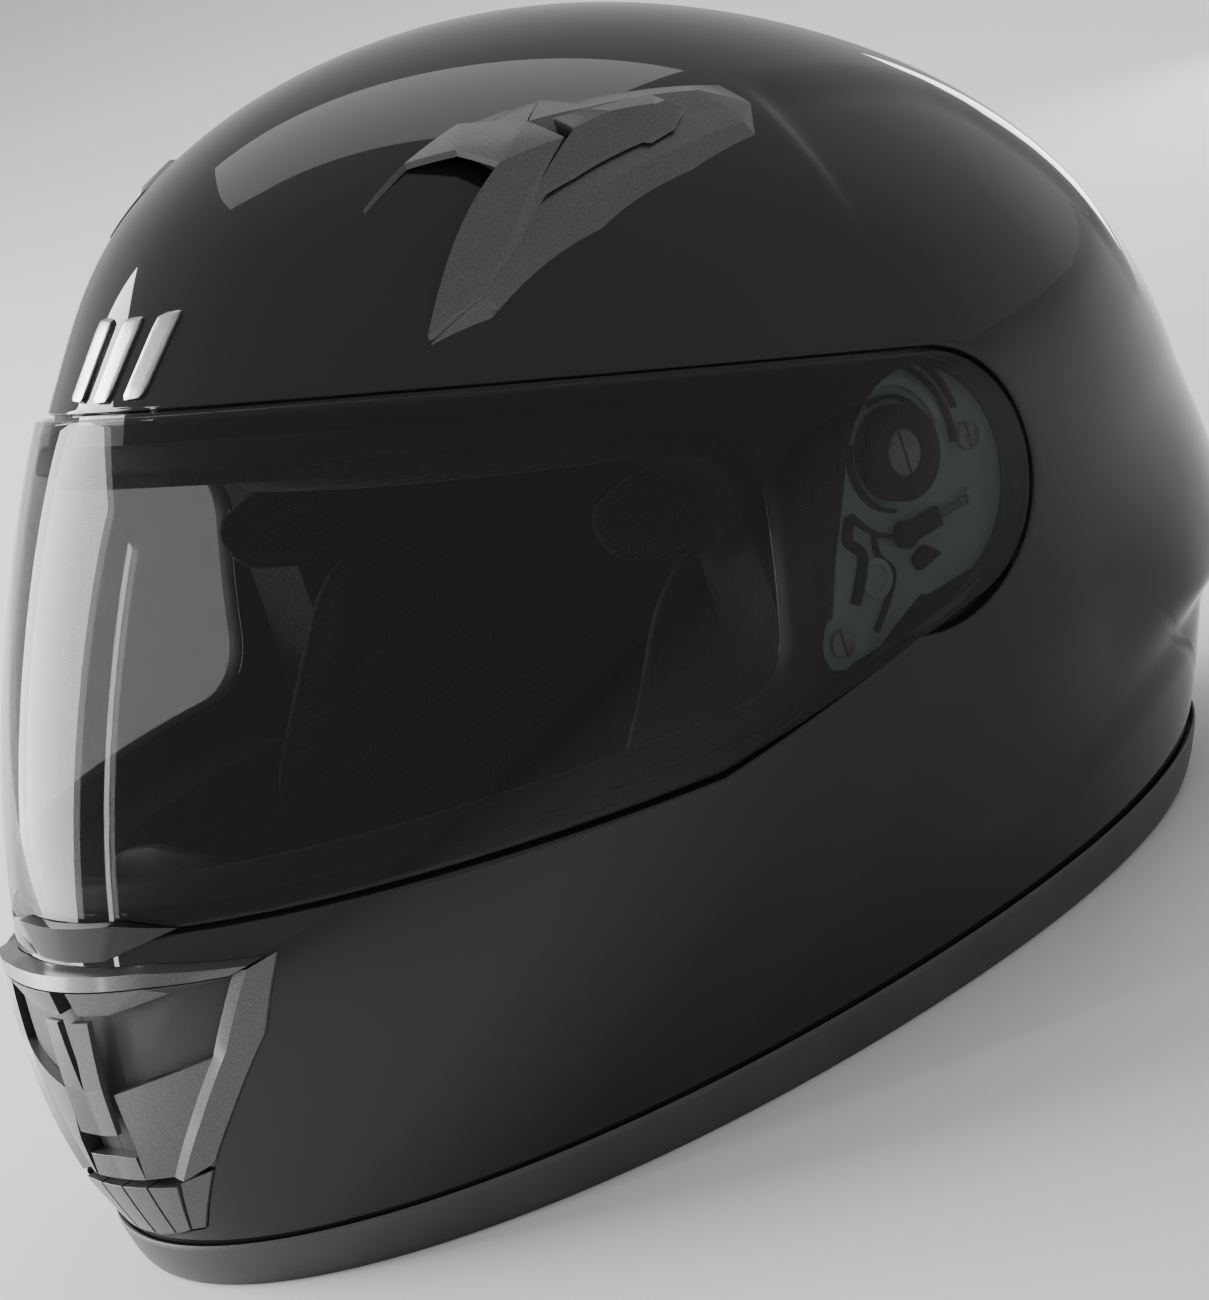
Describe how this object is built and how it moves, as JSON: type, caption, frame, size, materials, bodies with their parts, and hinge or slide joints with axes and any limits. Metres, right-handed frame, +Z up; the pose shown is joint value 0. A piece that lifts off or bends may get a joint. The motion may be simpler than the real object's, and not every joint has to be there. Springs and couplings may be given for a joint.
{
  "type": "motorcycle helmet",
  "caption": "Full-face helmet with a hinged smoke visor, sliding top and chin vents, foam and cloth lining, edge trim and a double-ring chin strap.",
  "frame": {"origin": "on the surface the helmet stands on, under the middle of its bounding box", "axes": "+Z up, face towards -Y, +X to the wearer's left"},
  "size_m": [0.2416, 0.3858, 0.2585],
  "materials": {
    "shell_black": "high gloss clear-coated",
    "eps_foam": "moulded expanded foam",
    "trim_rubber": "satin",
    "seal_rubber": "matte",
    "vent_grey": "satin metallic dark grey",
    "mesh_black": "matte",
    "visor_smoke": "polished transparent dark smoke",
    "plate_plastic": "brushed dark green grey",
    "steel": "plated",
    "lining_cloth": "knitted",
    "web_black": "woven webbing",
    "badge_silver": "satin silver"
  },
  "bodies": {
    "shell": {"outer_shell": "shell_black", "crown_liner": "eps_foam", "chin_liner": "eps_foam", "edge_trim": "trim_rubber", "eye_port_gasket": "seal_rubber", "top_vent_left": "vent_grey", "top_vent_right": "vent_grey", "chin_vent_housing": "vent_grey", "chin_vent_grille": "mesh_black", "base_plate_left": "plate_plastic", "base_plate_right": "plate_plastic", "base_plate_screws_left": "steel", "base_plate_screws_right": "steel", "pivot_screw_left": "steel", "pivot_screw_right": "steel", "latch_spring_left": "steel", "latch_spring_right": "steel", "crown_pad": "lining_cloth", "cheek_pad_left": "lining_cloth", "cheek_pad_right": "lining_cloth", "neck_roll": "lining_cloth", "breath_guard": "seal_rubber", "chin_curtain": "lining_cloth", "strap_left": "web_black", "strap_right": "web_black", "strap_rivets": "steel", "forehead_badge": "badge_silver"},
    "visor": {"visor": "visor_smoke", "visor_hub_left": "plate_plastic", "visor_hub_right": "plate_plastic"},
    "latch_left": {"visor_latch_left": "plate_plastic"},
    "latch_right": {"visor_latch_right": "plate_plastic"},
    "top_slider_left": {"top_vent_slider_left": "vent_grey"},
    "top_slider_right": {"top_vent_slider_right": "vent_grey"},
    "chin_slider": {"chin_vent_slider": "vent_grey"},
    "ring_end": {"d_ring_end": "steel"},
    "ring_back": {"d_ring_back": "steel"}
  },
  "joints": [
    {"name": "visor_hinge", "type": "hinge", "parent": "shell", "child": "visor", "pos_m": [0, 0.02036, 0.134], "axis": [-1, 0, 0], "range_deg": [0, 60]},
    {"name": "latch_left_slide", "type": "slide", "parent": "shell", "child": "latch_left", "axis": [0, 1, 0], "range_m": [0, 0.003], "stiffness_N_per_m": 300, "springref_m": -0.001, "deforming": ["latch_spring_left"]},
    {"name": "latch_right_slide", "type": "slide", "parent": "shell", "child": "latch_right", "axis": [0, 1, 0], "range_m": [0, 0.003], "stiffness_N_per_m": 300, "springref_m": -0.001, "deforming": ["latch_spring_right"]},
    {"name": "top_slider_left_slide", "type": "slide", "parent": "shell", "child": "top_slider_left", "axis": [0.08, 0.9533, 0.2911], "range_m": [0, 0.006]},
    {"name": "top_slider_right_slide", "type": "slide", "parent": "shell", "child": "top_slider_right", "axis": [-0.08, 0.9533, 0.2911], "range_m": [0, 0.006]},
    {"name": "chin_slider_slide", "type": "slide", "parent": "shell", "child": "chin_slider", "axis": [0, -0.07, -0.9975], "range_m": [0, 0.005]},
    {"name": "ring_end_hinge", "type": "hinge", "parent": "shell", "child": "ring_end", "pos_m": [0.022, 0.04036, 0.0095], "axis": [0, 1, 0], "range_deg": [0, 80]},
    {"name": "ring_back_hinge", "type": "hinge", "parent": "shell", "child": "ring_back", "pos_m": [0.0295, 0.04036, 0.0095], "axis": [0, -1, 0], "range_deg": [0, 80]}
  ]
}
